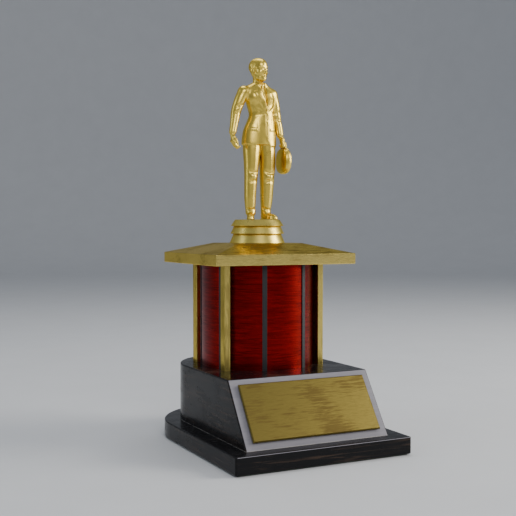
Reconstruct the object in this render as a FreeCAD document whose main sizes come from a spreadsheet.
"""Column trophy: a standing figure on a tiered riser, a capped column and a sloped base.

Frame: +Z up, origin at the bottom centre of the plinth, the front faces -Y. Millimetres.
"""
import FreeCAD
import Part
import Sketcher

import math
import os

Vec = FreeCAD.Vector
doc = FreeCAD.newDocument("ColumnTrophy")

# Driving dimensions: alias, value in millimetres (angles in degrees), meaning.
SIZES = [
    ("felt_thickness", 0.8, "felt under the plinth"),
    ("felt_inset", 2.0, "felt's edge inside the plinth's edge"),
    ("plinth_width", 130.0, "plinth along X"),
    ("plinth_depth", 168.0, "plinth along Y"),
    ("plinth_front_radius", 1.5, "plinth's front corners"),
    ("plinth_back_radius", 57.0, "plinth's back corners"),
    ("edge_round", 0.9, "rounding of the base's outer edges"),
    ("block_level", 12.4, "plinth's top"),
    ("block_width", 106.4, "base block along X"),
    ("block_front", 73.8, "block's foot in front of the origin"),
    ("block_brow", 45.9, "block's top edge in front of the origin"),
    ("block_back", 72.5, "block's back behind the origin"),
    ("block_back_radius", 45.0, "block's back corners"),
    ("column_level", 53.3, "block's top, where the column stands"),
    ("column_y", 17.5, "column's axis behind the origin"),
    ("column_height", 73.2, "block's top to the cap's underside"),
    ("tube_radius", 41.0, "column tube outside"),
    ("tube_wall", 1.6, "column tube's wall"),
    ("plug_height", 10.0, "discs inside the tube's ends"),
    ("strip_width", 3.2, "black strip along the tube's girth"),
    ("strip_proud", 0.6, "black strip's thickness"),
    ("strip_turn", 3.3, "how far the tube is turned on its rod, in degrees"),
    ("post_span_x", 78.2, "posts outside to outside along X"),
    ("post_span_y", 57.0, "posts outside to outside along Y"),
    ("post_width", 4.3, "post along X"),
    ("post_depth", 7.2, "post along Y"),
    ("pin_radius", 1.5, "dowel pins in the posts' ends"),
    ("pin_half", 4.0, "how far a pin enters each side"),
    ("cap_level", 126.5, "cap's underside"),
    ("cap_width", 108.2, "cap along X"),
    ("cap_depth", 96.8, "cap along Y"),
    ("cap_edge", 7.4, "cap's upright edge"),
    ("cap_rise", 7.1, "cap's hipped slope above its edge"),
    ("cap_top_width", 51.0, "cap's flat top along X"),
    ("cap_top_depth", 43.0, "cap's flat top along Y"),
    ("cap_sheet", 1.2, "cap cover's sheet"),
    ("gold_round", 0.4, "rounding of the cap's and posts' outer edges"),
    ("rod_radius", 3.175, "tie rod, a quarter-inch thread"),
    ("rod_hole_radius", 3.6, "rod's holes in the wooden pieces"),
    ("rod_bottom", 1.6, "tie rod's lower end"),
    ("rod_top", 147.2, "tie rod's upper end"),
    ("recess_radius", 11.0, "nut recess in the plinth"),
    ("recess_depth", 8.2, "nut recess in the plinth"),
    ("nut_across_flats", 11.1, "hex nuts"),
    ("nut_height", 5.6, "hex nuts"),
    ("washer_radius", 9.0, "bottom washer"),
    ("washer_thickness", 1.6, "bottom washer"),
    ("screw_radius", 2.1, "wood screws between plinth and block"),
    ("screw_head_radius", 4.2, "wood screws' heads"),
    ("screw_head_height", 2.4, "wood screws' heads"),
    ("screw_length", 32.0, "wood screws"),
    ("screw_x", 34.0, "wood screws either side of the middle"),
    ("screw_y", 40.0, "wood screws either side of the middle"),
    ("plate_length", 95.0, "nameplate along X"),
    ("plate_height", 40.2, "nameplate up the slope"),
    ("plate_thickness", 1.1, "nameplate"),
    ("plate_bevel", 0.7, "nameplate's bevelled edge"),
    ("tape_thickness", 1.4, "foam tape under the nameplate"),
    ("tape_height", 18.6, "each strip of tape up the slope"),
    ("tape_inset", 0.8, "tape's ends inside the plate's ends"),
    ("turning_gap", 0.1, "riser's underside above the cap"),
    ("running_gap", 0.05, "riser nut's bore around the rod"),
    ("riser_level", 141.0, "cap's top"),
    ("tier_overhang", 0.4, "height of each tier's lip"),
    ("lower_tier_foot", 20.2, "lower tier's radius at its foot"),
    ("lower_tier_head", 17.5, "lower tier's radius at its top"),
    ("middle_tier_foot", 19.6, "middle tier's radius at its foot"),
    ("middle_tier_head", 17.2, "middle tier's radius at its top"),
    ("upper_tier_foot", 19.3, "upper tier's radius at its foot"),
    ("upper_tier_head", 16.3, "upper tier's radius at its top"),
    ("middle_tier_level", 147.5, "middle tier's foot"),
    ("upper_tier_level", 153.1, "upper tier's foot"),
    ("riser_cavity", 9.2, "hollow in the riser, from its underside"),
    ("figure_screw_radius", 2.0, "screw between riser and upper tier"),
    ("figure_screw_head", 3.5, "that screw's head radius"),
    ("figure_screw_head_height", 2.0, "that screw's head height"),
    ("figure_screw_reach", 3.2, "how far it enters the upper tier"),
    ("figure_level", 158.0, "upper tier's top, where the figure stands"),
    ("figure_height", 117.0, "figure from sole to crown"),
    ("peg_radius", 1.2, "pegs under the figure's shoes"),
    ("peg_length", 2.6, "pegs under the figure's shoes"),
    ("bag_thickness", 5.4, "bag along X"),
    ("bag_length", 18.0, "bag along Y"),
    ("bag_height", 19.0, "bag along Z"),
]

sheet = doc.addObject("Spreadsheet::Sheet", "Sizes")
for row, (alias, number, meaning) in enumerate(SIZES, start=1):
    sheet.set(f"A{row}", alias)
    sheet.set(f"B{row}", str(number))
    sheet.set(f"C{row}", meaning)
    sheet.setAlias(f"B{row}", alias)
doc.recompute()

nodes = []


def size(alias):
    """The value of one cell of the sheet."""
    return float(sheet.get(alias))


def value(expression):
    """The value of an expression over the sheet's cells."""
    return float(sheet.evalExpression(expression))


def bind(obj, **expressions):
    """Bind an object's properties to expressions over the sheet."""
    for path, expression in expressions.items():
        obj.setExpression(path.replace("__", "."), expression)


def keep(obj, label):
    """Name an object as a finished piece."""
    obj.Label = label
    nodes.append(obj)
    return obj


def new_body(name, y="0", z="0"):
    """A PartDesign body standing at x = 0 and the given y and z."""
    body = doc.addObject("PartDesign::Body", name)
    bind(body, Placement__Base__y=y, Placement__Base__z=z)
    return body


def new_sketch(body, role="XY_Plane", height=None):
    """A sketch on one of the body's own origin planes, raised along its normal."""
    sketch = body.newObject("Sketcher::SketchObject", body.Name + "_sketch")
    plane = next(item for item in body.Origin.OriginFeatures if item.Role == role)
    sketch.AttachmentSupport = [(plane, "")]
    sketch.MapMode = "FlatFace"
    if height:
        bind(sketch, AttachmentOffset__Base__z=height)
    return sketch


def constrain(sketch, kind, references, expression):
    """Add one dimension to a sketch and bind it."""
    index = sketch.addConstraint(Sketcher.Constraint(kind, *references, value(expression)))
    sketch.setExpression(f"Constraints[{index}]", expression)


def pin_point(sketch, geometry, vertex, x, y):
    """Fix a point of the sketch at (x, y), both given as expressions."""
    for kind, axis, expression in (("DistanceX", -2, x), ("DistanceY", -1, y)):
        if abs(value(expression)) < 1e-9:
            sketch.addConstraint(Sketcher.Constraint("PointOnObject", geometry, vertex, axis))
        else:
            constrain(sketch, kind, (-1, 1, geometry, vertex), expression)


def polygon(sketch, corners):
    """A closed outline through corners given as pairs of expressions."""
    points = [Vec(value(x), value(y), 0) for x, y in corners]
    ends = points[1:] + points[:1]
    lines = [sketch.addGeometry(Part.LineSegment(a, b)) for a, b in zip(points, ends)]
    for line, following in zip(lines, lines[1:] + lines[:1]):
        sketch.addConstraint(Sketcher.Constraint("Coincident", line, 2, following, 1))
    for line, (x, y) in zip(lines, corners):
        pin_point(sketch, line, 1, x, y)


def rectangle(sketch, width, low, high):
    """A rectangle centred on x = 0 between two heights."""
    half = f"({width}) / 2"
    polygon(sketch, [(f"-{half}", low), (half, low), (half, high), (f"-{half}", high)])


def circle(sketch, radius, x="0", y="0"):
    """A circle with its centre at (x, y)."""
    shape = Part.Circle(Vec(value(x), value(y), 0), Vec(0, 0, 1), value(radius))
    index = sketch.addGeometry(shape)
    pin_point(sketch, index, 3, x, y)
    constrain(sketch, "Radius", (index,), radius)


def hexagon(sketch, across_flats):
    """A regular hexagon around the sketch's origin."""
    corner = f"({across_flats}) / (2 * cos(30 deg))"
    turns = [f"{60 * step} deg" for step in range(6)]
    polygon(sketch, [(f"{corner} * cos({turn})", f"{corner} * sin({turn})") for turn in turns])


def pad(body, sketch, length, midplane=False):
    """Pad a sketch upwards, or evenly to both sides."""
    feature = body.newObject("PartDesign::Pad", body.Name + "_pad")
    feature.Profile = sketch
    bind(feature, Length=length)
    feature.Midplane = midplane
    doc.recompute()
    return feature


def pocket(body, sketch, depth, upwards=True):
    """Cut a sketch into the body along or against its normal."""
    before = body.Shape.Volume
    feature = body.newObject("PartDesign::Pocket", body.Name + "_pocket")
    feature.Profile = sketch
    bind(feature, Length=depth)
    feature.Reversed = upwards
    doc.recompute()
    if body.Shape.Volume > before - 1e-3:
        raise RuntimeError(f"{body.Name}: a pocket cut nothing")
    return feature


def revolve(body, sketch):
    """Turn a sketch fully about its vertical axis."""
    feature = body.newObject("PartDesign::Revolution", body.Name + "_revolution")
    feature.Profile = sketch
    feature.ReferenceAxis = (sketch, ["V_Axis"])
    feature.Angle = 360
    doc.recompute()
    return feature


def dress(body, kind, radius, test):
    """Fillet or chamfer the edges of the body that pass the test."""
    base = body.Tip
    chosen = [f"Edge{i}" for i, edge in enumerate(base.Shape.Edges, start=1) if test(edge)]
    feature = body.newObject("PartDesign::" + kind, body.Name + "_" + kind.lower())
    feature.Base = (base, chosen)
    bind(feature, **{"Radius" if kind == "Fillet" else "Size": radius})
    doc.recompute()
    return feature


def upright(edge):
    """True for a straight vertical edge."""
    low = edge.BoundBox
    return low.XLength < 1e-6 and low.YLength < 1e-6


def at_height(edge, height):
    """True for an edge lying level at the given height of its body."""
    box = edge.BoundBox
    return abs(box.ZMin - height) < 1e-6 and abs(box.ZMax - height) < 1e-6


def at_column(name, z):
    """A body on the column's axis."""
    return new_body(name, y="Sizes.column_y", z=z)


def base_plate(name, z, inset, thickness):
    """A plate in the plinth's outline: square in front, widely rounded behind."""
    body = new_body(name, z=z)
    sketch = new_sketch(body)
    half_depth = f"(Sizes.plinth_depth / 2 - {inset})"
    rectangle(sketch, f"Sizes.plinth_width - 2 * {inset}", f"-{half_depth}", half_depth)
    pad(body, sketch, thickness)
    dress(body, "Fillet", f"Sizes.plinth_back_radius - {inset}",
          lambda edge: upright(edge) and edge.CenterOfMass.y > 0)
    front_radius = f"Sizes.plinth_front_radius - {inset} / 2"
    dress(body, "Fillet", front_radius, lambda edge: upright(edge) and edge.CenterOfMass.y < -70)
    return body


def screw_places():
    """The four wood screws, as pairs of expressions."""
    return [(f"{sx} * Sizes.screw_x", f"{sy} * Sizes.screw_y") for sx in (-1, 1) for sy in (-1, 1)]


def build_felt_pad():
    keep(base_plate("FeltPad", "0", "Sizes.felt_inset", "Sizes.felt_thickness"), "felt_pad")


def build_plinth():
    height = "Sizes.block_level - Sizes.felt_thickness"
    body = base_plate("Plinth", "Sizes.felt_thickness", "0", height)
    top = value(height)
    dress(body, "Fillet", "Sizes.edge_round",
          lambda edge: at_height(edge, top) or at_height(edge, 0))
    recess = new_sketch(body)
    circle(recess, "Sizes.recess_radius", y="Sizes.column_y")
    pocket(body, recess, "Sizes.recess_depth")
    bore = new_sketch(body)
    circle(bore, "Sizes.rod_hole_radius", y="Sizes.column_y")
    for x, y in screw_places():
        circle(bore, "Sizes.screw_radius", x, y)
    pocket(body, bore, "Sizes.block_level")
    heads = new_sketch(body)
    for x, y in screw_places():
        circle(heads, "Sizes.screw_head_radius", x, y)
    pocket(body, heads, "Sizes.screw_head_height")
    keep(body, "plinth")


def build_base_block():
    body = new_body("BaseBlock", z="Sizes.block_level")
    side = new_sketch(body, "YZ_Plane")
    height = "Sizes.column_level - Sizes.block_level"
    polygon(side, [("-Sizes.block_front", "0"), ("Sizes.block_back", "0"),
                   ("Sizes.block_back", height), ("-Sizes.block_brow", height)])
    pad(body, side, "Sizes.block_width", midplane=True)
    dress(body, "Fillet", "Sizes.block_back_radius",
          lambda edge: upright(edge) and edge.CenterOfMass.y > 0)
    top = value(height)
    dress(body, "Fillet", "Sizes.edge_round",
          lambda edge: at_height(edge, top) or sloping(edge))
    holes = new_sketch(body)
    circle(holes, "Sizes.rod_hole_radius", y="Sizes.column_y")
    pocket(body, holes, height)
    screws = new_sketch(body)
    for x, y in screw_places():
        circle(screws, "Sizes.screw_radius", x, y)
    pocket(body, screws, "Sizes.screw_length + Sizes.felt_thickness - Sizes.block_level")
    pins = new_sketch(body, height=f"{height} - Sizes.pin_half")
    for x, y in post_places():
        circle(pins, "Sizes.pin_radius", x, f"Sizes.column_y + {y}")
    pocket(body, pins, "Sizes.pin_half")
    keep(body, "base_block")


def sloping(edge):
    """True for an edge that runs both up and back."""
    box = edge.BoundBox
    return box.ZLength > 5 and box.YLength > 5


def post_places():
    """The posts' centres from the column's axis, as pairs of expressions."""
    x = "(Sizes.post_span_x - Sizes.post_width) / 2"
    y = "(Sizes.post_span_y - Sizes.post_depth) / 2"
    return [(f"{sx} * {x}", f"{sy} * {y}") for sy in (-1, 1) for sx in (-1, 1)]


def build_wood_screws():
    """Four countersunk screws up through the plinth into the block."""
    screws = []
    for number, (x, y) in enumerate(screw_places(), start=1):
        head = doc.addObject("Part::Cylinder", f"ScrewHead{number}")
        bind(head, Radius="Sizes.screw_head_radius", Height="Sizes.screw_head_height")
        shank = doc.addObject("Part::Cylinder", f"ScrewShank{number}")
        bind(shank, Radius="Sizes.screw_radius", Height="Sizes.screw_length")
        for solid in (head, shank):
            bind(solid, Placement__Base__x=x, Placement__Base__y=y,
                 Placement__Base__z="Sizes.felt_thickness")
        screw = doc.addObject("Part::MultiFuse", f"WoodScrew{number}")
        screw.Shapes = [head, shank]
        screws.append(screw)
    group = doc.addObject("Part::Compound", "WoodScrews")
    group.Links = screws
    keep(group, "wood_screws")


def slope_placement(body, up_slope, proud):
    """Lay a body's XY plane on the block's sloped face."""
    run = value("Sizes.block_front - Sizes.block_brow")
    rise = value("Sizes.column_level - Sizes.block_level")
    tilt = math.atan2(rise, run)
    body.Placement.Rotation = FreeCAD.Rotation(Vec(1, 0, 0), math.degrees(tilt))
    normal = Vec(0, -math.sin(tilt), math.cos(tilt))
    along = Vec(0, math.cos(tilt), math.sin(tilt))
    foot = Vec(0, -size("block_front"), size("block_level"))
    place = foot + along * up_slope + normal * proud
    bind(body, Placement__Base__x="0", Placement__Base__y=f"{place.y}",
         Placement__Base__z=f"{place.z}")


def slope_length():
    """The length of the block's sloped face."""
    return math.hypot(value("Sizes.block_front - Sizes.block_brow"),
                      value("Sizes.column_level - Sizes.block_level"))


def build_nameplate():
    """A blank bevelled plate in the middle of the slope."""
    body = new_body("Nameplate")
    slope_placement(body, slope_length() / 2, size("tape_thickness"))
    sketch = new_sketch(body)
    rectangle(sketch, "Sizes.plate_length", "-Sizes.plate_height / 2", "Sizes.plate_height / 2")
    pad(body, sketch, "Sizes.plate_thickness")
    top = size("plate_thickness")
    dress(body, "Chamfer", "Sizes.plate_bevel", lambda edge: at_height(edge, top))
    keep(body, "nameplate")


def build_nameplate_tape():
    """Two strips of double-sided tape behind the plate."""
    strips = []
    for number, side in enumerate((-1, 1), start=1):
        body = new_body(f"Tape{number}")
        slope_placement(body, slope_length() / 2, 0)
        sketch = new_sketch(body)
        middle = f"{side} * Sizes.plate_height / 4"
        rectangle(sketch, "Sizes.plate_length - 2 * Sizes.tape_inset",
                  f"{middle} - Sizes.tape_height / 2", f"{middle} + Sizes.tape_height / 2")
        pad(body, sketch, "Sizes.tape_thickness")
        strips.append(body)
    group = doc.addObject("Part::Compound", "NameplateTape")
    group.Links = strips
    keep(group, "nameplate_tape")


def build_tie_rod():
    body = at_column("TieRod", "Sizes.rod_bottom")
    sketch = new_sketch(body)
    circle(sketch, "Sizes.rod_radius")
    pad(body, sketch, "Sizes.rod_top - Sizes.rod_bottom")
    keep(body, "tie_rod")


def hex_nut(name, z, bore):
    """A hexagonal nut on the column's axis."""
    body = at_column(name, z)
    sketch = new_sketch(body)
    hexagon(sketch, "Sizes.nut_across_flats")
    circle(sketch, bore)
    pad(body, sketch, "Sizes.nut_height")
    return body


def build_bottom_fasteners():
    """The washer against the recess's roof and the nut under it."""
    roof = "Sizes.felt_thickness + Sizes.recess_depth"
    washer = at_column("BottomWasher", f"{roof} - Sizes.washer_thickness")
    sketch = new_sketch(washer)
    circle(sketch, "Sizes.washer_radius")
    circle(sketch, "Sizes.rod_radius")
    pad(washer, sketch, "Sizes.washer_thickness")
    keep(washer, "bottom_washer")
    nut_level = f"{roof} - Sizes.washer_thickness - Sizes.nut_height"
    keep(hex_nut("BottomNut", nut_level, "Sizes.rod_radius"), "bottom_nut")


def build_column_tube():
    body = at_column("ColumnTube", "Sizes.column_level")
    sketch = new_sketch(body)
    circle(sketch, "Sizes.tube_radius")
    circle(sketch, "Sizes.tube_radius - Sizes.tube_wall")
    pad(body, sketch, "Sizes.column_height")
    keep(body, "column_tube")


def build_column_plugs():
    """Wooden discs that centre the tube on the rod."""
    levels = {"lower": "Sizes.column_level", "upper": "Sizes.cap_level - Sizes.plug_height"}
    for place, level in levels.items():
        body = at_column("ColumnPlug_" + place, level)
        sketch = new_sketch(body)
        circle(sketch, "Sizes.tube_radius - Sizes.tube_wall")
        circle(sketch, "Sizes.rod_hole_radius")
        pad(body, sketch, "Sizes.plug_height")
        keep(body, "column_plug_" + place)


def build_strips(count=8):
    """Black strips up the tube, one every eighth of a turn, none at dead front."""
    step = 360 / count
    width_angle = "2 * asin(Sizes.strip_width / 2 / Sizes.tube_radius)"
    for number in range(count):
        outer = doc.addObject("Part::Cylinder", f"StripOuter{number + 1}")
        bind(outer, Radius="Sizes.tube_radius + Sizes.strip_proud", Height="Sizes.column_height",
             Angle=width_angle)
        inner = doc.addObject("Part::Cylinder", f"StripInner{number + 1}")
        bind(inner, Radius="Sizes.tube_radius", Height="Sizes.column_height")
        strip = doc.addObject("Part::Cut", f"Strip{number + 1}")
        strip.Base = outer
        strip.Tool = inner
        middle = -90 + step * (number + 0.5) + size("strip_turn")
        start = middle - value(width_angle) / 2
        strip.Placement.Rotation = FreeCAD.Rotation(Vec(0, 0, 1), start)
        bind(strip, Placement__Base__y="Sizes.column_y", Placement__Base__z="Sizes.column_level")
        keep(strip, f"column_strip_{number + 1}")


def build_posts():
    """Four gold posts with a hollow seat against the tube and a pin hole in each end."""
    names = ("front_left", "front_right", "back_left", "back_right")
    for name, (x, y) in zip(names, post_places()):
        body = at_column("Post_" + name, "Sizes.column_level")
        sketch = new_sketch(body)
        west, east = f"{x} - Sizes.post_width / 2", f"{x} + Sizes.post_width / 2"
        south, north = f"{y} - Sizes.post_depth / 2", f"{y} + Sizes.post_depth / 2"
        polygon(sketch, [(west, south), (east, south), (east, north), (west, north)])
        pad(body, sketch, "Sizes.column_height")
        dress(body, "Fillet", "Sizes.gold_round", upright)
        seat = new_sketch(body)
        circle(seat, "Sizes.tube_radius")
        pocket(body, seat, "Sizes.column_height")
        for height in (None, "Sizes.column_height - Sizes.pin_half"):
            hole = new_sketch(body, height=height)
            circle(hole, "Sizes.pin_radius", x, y)
            pocket(body, hole, "Sizes.pin_half")
        keep(body, "post_" + name)


def build_post_pins():
    """Dowel pins between the posts, the block and the cap's core."""
    for place, level in (("lower", "Sizes.column_level"), ("upper", "Sizes.cap_level")):
        pins = []
        for number, (x, y) in enumerate(post_places(), start=1):
            pin = doc.addObject("Part::Cylinder", f"PostPin_{place}_{number}")
            bind(pin, Radius="Sizes.pin_radius", Height="2 * Sizes.pin_half",
                 Placement__Base__x=x, Placement__Base__y=f"Sizes.column_y + {y}",
                 Placement__Base__z=f"{level} - Sizes.pin_half")
            pins.append(pin)
        group = doc.addObject("Part::Compound", "PostPins_" + place)
        group.Links = pins
        keep(group, "post_pins_" + place)


def hipped_block(name, inset):
    """The cap's form, drawn in by an inset: an upright edge under a hipped slope."""
    body = at_column(name, "Sizes.cap_level")
    foot = new_sketch(body)
    half_depth = f"(Sizes.cap_depth / 2 - {inset})"
    edge = f"(Sizes.cap_edge - 0.8 * {inset})"
    rectangle(foot, f"Sizes.cap_width - 2 * {inset}", f"-{half_depth}", half_depth)
    pad(body, foot, edge)
    low = new_sketch(body, height=edge)
    rectangle(low, f"Sizes.cap_width - 2 * {inset}", f"-{half_depth}", half_depth)
    high = new_sketch(body, height=f"Sizes.cap_edge + Sizes.cap_rise - {inset}")
    half_top = "(Sizes.cap_top_depth / 2)"
    rectangle(high, "Sizes.cap_top_width", f"-{half_top}", half_top)
    loft = body.newObject("PartDesign::AdditiveLoft", name + "_loft")
    loft.Profile = low
    loft.Sections = [high]
    loft.Ruled = True
    doc.recompute()
    return body


def build_cap():
    """A pressed cover over a solid core."""
    core = hipped_block("CapCore", "Sizes.cap_sheet")
    bore = new_sketch(core)
    circle(bore, "Sizes.rod_hole_radius")
    pocket(core, bore, "Sizes.cap_edge + Sizes.cap_rise")
    pins = new_sketch(core)
    for x, y in post_places():
        circle(pins, "Sizes.pin_radius", x, y)
    pocket(core, pins, "Sizes.pin_half")
    keep(core, "cap_core")

    outside = hipped_block("CapOutside", "0")
    eaves = (0, size("cap_edge"))
    dress(outside, "Fillet", "Sizes.gold_round",
          lambda edge: upright(edge) or any(at_height(edge, height) for height in eaves))
    bore = new_sketch(outside)
    circle(bore, "Sizes.rod_hole_radius")
    pocket(outside, bore, "Sizes.cap_edge + Sizes.cap_rise")
    cover = doc.addObject("Part::Cut", "CapCover")
    cover.Base = outside
    cover.Tool = hipped_block("CapHollow", "Sizes.cap_sheet")
    keep(cover, "cap_cover")


def build_riser():
    """The two lower tiers, turned in one piece, with a nut pocket and a hollow above it."""
    level = "Sizes.riser_level + Sizes.turning_gap"
    body = at_column("Riser", level)
    profile = new_sketch(body, "XZ_Plane")
    middle = f"Sizes.middle_tier_level - ({level})"
    top = f"Sizes.upper_tier_level - ({level})"
    polygon(profile, [("0", "0"), ("Sizes.lower_tier_foot", "0"),
                      ("Sizes.lower_tier_head", middle),
                      ("Sizes.middle_tier_foot", f"{middle} + Sizes.tier_overhang"),
                      ("Sizes.middle_tier_head", top), ("0", top)])
    revolve(body, profile)
    pocket_sketch = new_sketch(body)
    hexagon(pocket_sketch, "Sizes.nut_across_flats")
    pocket(body, pocket_sketch, "Sizes.nut_height")
    hollow = new_sketch(body)
    circle(hollow, "Sizes.nut_across_flats / 2 - 0.6")
    pocket(body, hollow, "Sizes.riser_cavity")
    screw_hole = new_sketch(body)
    circle(screw_hole, "Sizes.figure_screw_radius")
    pocket(body, screw_hole, top)
    keep(body, "riser")
    nut = hex_nut("RiserNut", level, "Sizes.rod_radius + Sizes.running_gap")
    keep(nut, "riser_nut")


def build_figure_base():
    """The upper tier, which the figure's shoes are pegged to."""
    body = at_column("FigureBase", "Sizes.upper_tier_level")
    profile = new_sketch(body, "XZ_Plane")
    top = "Sizes.figure_level - Sizes.upper_tier_level"
    polygon(profile, [("0", "0"), ("Sizes.middle_tier_head", "0"),
                      ("Sizes.upper_tier_foot", "Sizes.tier_overhang"),
                      ("Sizes.upper_tier_head", top), ("0", top)])
    revolve(body, profile)
    screw_hole = new_sketch(body)
    circle(screw_hole, "Sizes.figure_screw_radius")
    pocket(body, screw_hole, "Sizes.figure_screw_reach")
    pegs = new_sketch(body, height=f"{top} - Sizes.peg_length")
    for x, y in SHOE_PEGS:
        circle(pegs, "Sizes.peg_radius", f"{x} * Sizes.figure_height", f"{y} * Sizes.figure_height")
    pocket(body, pegs, "Sizes.peg_length")
    keep(body, "figure_base")


def build_figure_screw():
    """The screw from the riser's hollow up into the upper tier."""
    seat = "Sizes.riser_level + Sizes.turning_gap + Sizes.riser_cavity"
    body = at_column("FigureScrew", f"{seat} - Sizes.figure_screw_head_height")
    head = new_sketch(body)
    circle(head, "Sizes.figure_screw_head")
    pad(body, head, "Sizes.figure_screw_head_height")
    shank = new_sketch(body)
    circle(shank, "Sizes.figure_screw_radius")
    reach = f"Sizes.upper_tier_level + Sizes.figure_screw_reach - ({seat})"
    pad(body, shank, f"Sizes.figure_screw_head_height + {reach}")
    keep(body, "figure_screw")


# The figure's proportions, as fractions of its height, from the middle of its soles.
# Torso and leg sections: height, centre x, centre y, half width, half depth.
TORSO = [(0.462, 0.008, 0.000, 0.113, 0.066), (0.560, 0.008, 0.000, 0.104, 0.064),
         (0.660, 0.008, 0.000, 0.082, 0.056), (0.740, 0.008, 0.000, 0.100, 0.062),
         (0.806, 0.008, 0.000, 0.116, 0.052), (0.838, 0.010, 0.003, 0.074, 0.040),
         (0.858, 0.012, 0.004, 0.030, 0.030)]
LEFT_LEG = [(0.030, -0.050, 0.014, 0.030, 0.031), (0.120, -0.050, 0.012, 0.034, 0.036),
            (0.260, -0.046, 0.004, 0.039, 0.040), (0.400, -0.040, 0.002, 0.049, 0.052),
            (0.480, -0.040, 0.002, 0.056, 0.056)]
RIGHT_LEG = [(0.030, 0.064, 0.018, 0.031, 0.031), (0.120, 0.065, 0.014, 0.036, 0.036),
             (0.260, 0.066, 0.004, 0.041, 0.040), (0.400, 0.060, 0.002, 0.050, 0.052),
             (0.480, 0.056, 0.002, 0.056, 0.056)]
# Limbs: x, y, z and radius at each joint.
LEFT_ARM = [(-0.108, 0.004, 0.786, 0.036), (-0.148, 0.016, 0.640, 0.029),
            (-0.160, -0.034, 0.528, 0.021), (-0.152, -0.052, 0.476, 0.024)]
RIGHT_ARM = [(0.122, 0.004, 0.776, 0.036), (0.152, 0.014, 0.640, 0.029),
             (0.165, -0.018, 0.530, 0.021), (0.172, -0.024, 0.488, 0.025)]
NECK = [(0.012, 0.004, 0.820, 0.028), (0.014, -0.004, 0.890, 0.027)]
HEAD_CENTRE = (0.014, -0.008, 0.930)
HEAD_RADII = (0.053, 0.062, 0.070)
# Shoes: heel x, y, then toe x, y.
SHOES = [(-0.050, 0.040, -0.056, -0.078), (0.060, 0.044, 0.100, -0.066)]
SHOE_RADII = (0.030, 0.040)
SHOE_PEGS = [(-0.052, -0.010), (0.076, -0.008)]
BAG_CENTRE = (0.1735, -0.022, 0.368)
BAG_GRIP_RADIUS = 0.026


def section_wire(height, x, y, half_width, half_depth):
    """An elliptical section of the figure."""
    scale = size("figure_height")
    ellipse = Part.Ellipse(Vec(0, 0, 0), max(half_width, half_depth) * scale,
                           min(half_width, half_depth) * scale)
    wire = Part.Wire([ellipse.toShape()])
    if half_depth > half_width:
        wire.rotate(Vec(0, 0, 0), Vec(0, 0, 1), 90)
    wire.translate(Vec(x, y, height) * scale)
    return wire


def lofted(sections):
    """A smooth solid through elliptical sections."""
    return Part.makeLoft([section_wire(*section) for section in sections], True)


def limb(joints):
    """Cones between joints, with a ball at each joint."""
    scale = size("figure_height")
    solids = []
    for x, y, z, radius in joints:
        solids.append(Part.makeSphere(radius * scale, Vec(x, y, z) * scale))
    for (x1, y1, z1, r1), (x2, y2, z2, r2) in zip(joints, joints[1:]):
        start, end = Vec(x1, y1, z1) * scale, Vec(x2, y2, z2) * scale
        reach = end - start
        solids.append(Part.makeCone(r1 * scale, r2 * scale, reach.Length, start, reach))
    return solids


def ellipsoid(centre, radii):
    """A ball stretched along the axes."""
    ball = Part.makeSphere(1)
    scale = size("figure_height")
    matrix = FreeCAD.Matrix()
    matrix.scale(*(radius * scale for radius in radii))
    solid = ball.transformGeometry(matrix)
    solid.translate(Vec(*centre) * scale)
    return solid


def shoe(heel_x, heel_y, toe_x, toe_y):
    """A low rounded shoe, flat underneath."""
    scale = size("figure_height")
    radius, height = (number * scale for number in SHOE_RADII)
    heel, toe = Vec(heel_x, heel_y, 0) * scale, Vec(toe_x, toe_y, 0) * scale
    direction = toe - heel
    ball = ellipsoid((0, 0, 0), (direction.Length / 2 / scale, SHOE_RADII[0], SHOE_RADII[1]))
    half_space = Part.makeBox(80, 80, 40, Vec(-40, -40, 0))
    solid = ball.common(half_space)
    solid.rotate(Vec(0, 0, 0), Vec(0, 0, 1), math.degrees(math.atan2(direction.y, direction.x)))
    solid.translate((heel + toe) / 2)
    return solid


def figure_shape():
    """The whole figure, standing at its own origin."""
    scale = size("figure_height")
    solids = [lofted(TORSO), lofted(LEFT_LEG), lofted(RIGHT_LEG)]
    solids += limb(LEFT_ARM) + limb(RIGHT_ARM) + limb(NECK)
    solids.append(ellipsoid(HEAD_CENTRE, HEAD_RADII))
    solids += [shoe(*place) for place in SHOES]
    for x, y in SHOE_PEGS:
        peg_height = size("peg_length") + 1
        foot = Vec(x * scale, y * scale, -size("peg_length"))
        solids.append(Part.makeCylinder(size("peg_radius"), peg_height, foot))
    return solids[0].fuse(solids[1:]).removeSplitter()


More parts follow.
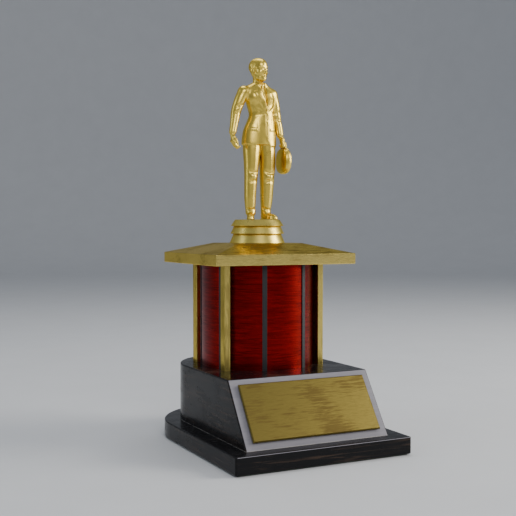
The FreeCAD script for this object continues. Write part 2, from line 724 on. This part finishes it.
def build_bag():
    """A soft-cornered bag with a round handle over its top edge."""
    case = new_body("BagCase")
    outline = new_sketch(case, "YZ_Plane")
    rectangle(outline, "Sizes.bag_length", "-Sizes.bag_height / 2", "Sizes.bag_height / 2")
    pad(case, outline, "Sizes.bag_thickness", midplane=True)
    dress(case, "Fillet", "Sizes.bag_height * 0.36", across)
    dress(case, "Fillet", "Sizes.bag_thickness * 0.36",
          lambda edge: abs(abs(edge.CenterOfMass.x) - size("bag_thickness") / 2) < 1e-6)
    handle = doc.addObject("Part::Torus", "BagHandle")
    bind(handle, Radius1=f"{BAG_GRIP_RADIUS} * Sizes.figure_height",
         Radius2="0.007 * Sizes.figure_height", Placement__Base__z="Sizes.bag_height / 2")
    handle.Placement.Rotation = FreeCAD.Rotation(Vec(0, 1, 0), 90)
    bag = doc.addObject("Part::Fuse", "Bag")
    bag.Base = case
    bag.Tool = handle
    x, y, z = BAG_CENTRE
    bind(bag, Placement__Base__x=f"{x} * Sizes.figure_height",
         Placement__Base__y=f"Sizes.column_y + {y} * Sizes.figure_height",
         Placement__Base__z=f"Sizes.figure_level + {z} * Sizes.figure_height")
    doc.recompute()
    return keep(bag, "bag")


def across(edge):
    """True for a straight edge along X."""
    box = edge.BoundBox
    return box.YLength < 1e-6 and box.ZLength < 1e-6


def build_figure(bag):
    """The cast figure: a sculpted form, so its shape is made from sections and joints."""
    place = Vec(0, size("column_y"), size("figure_level"))
    solid = figure_shape()
    held = bag.Shape.copy()
    held.translate(place.negative())
    figure = doc.addObject("Part::Feature", "Figure")
    figure.Shape = solid.cut(held)
    figure.Placement.Base = place
    keep(figure, "figure")


def check_model():
    """Stop on any failed object or faulty piece."""
    for obj in doc.Objects:
        bad = [state for state in obj.State if state in ("Invalid", "Error")]
        if bad:
            raise RuntimeError(f"{obj.Label}: {bad}")
    for node in nodes:
        if node.Shape.isNull() or not node.Shape.isValid() or not node.Shape.Solids:
            raise RuntimeError(f"{node.Label}: no valid solid")


def export_parts():
    """One STEP file for each piece."""
    os.makedirs("parts", exist_ok=True)
    for node in nodes:
        node.Shape.exportStep(f"parts/{node.Label}.step")


build_felt_pad()
build_plinth()
build_wood_screws()
build_base_block()
build_nameplate_tape()
build_nameplate()
build_tie_rod()
build_bottom_fasteners()
build_column_tube()
build_column_plugs()
build_strips()
build_posts()
build_post_pins()
build_cap()
build_riser()
build_figure_base()
build_figure_screw()
build_figure(build_bag())
doc.recompute()
check_model()
export_parts()
for piece in nodes:
    solids = len(piece.Shape.Solids)
    print(f"{piece.Label}: {solids} solid(s), {piece.Shape.Volume / 1000:.2f} cm3")
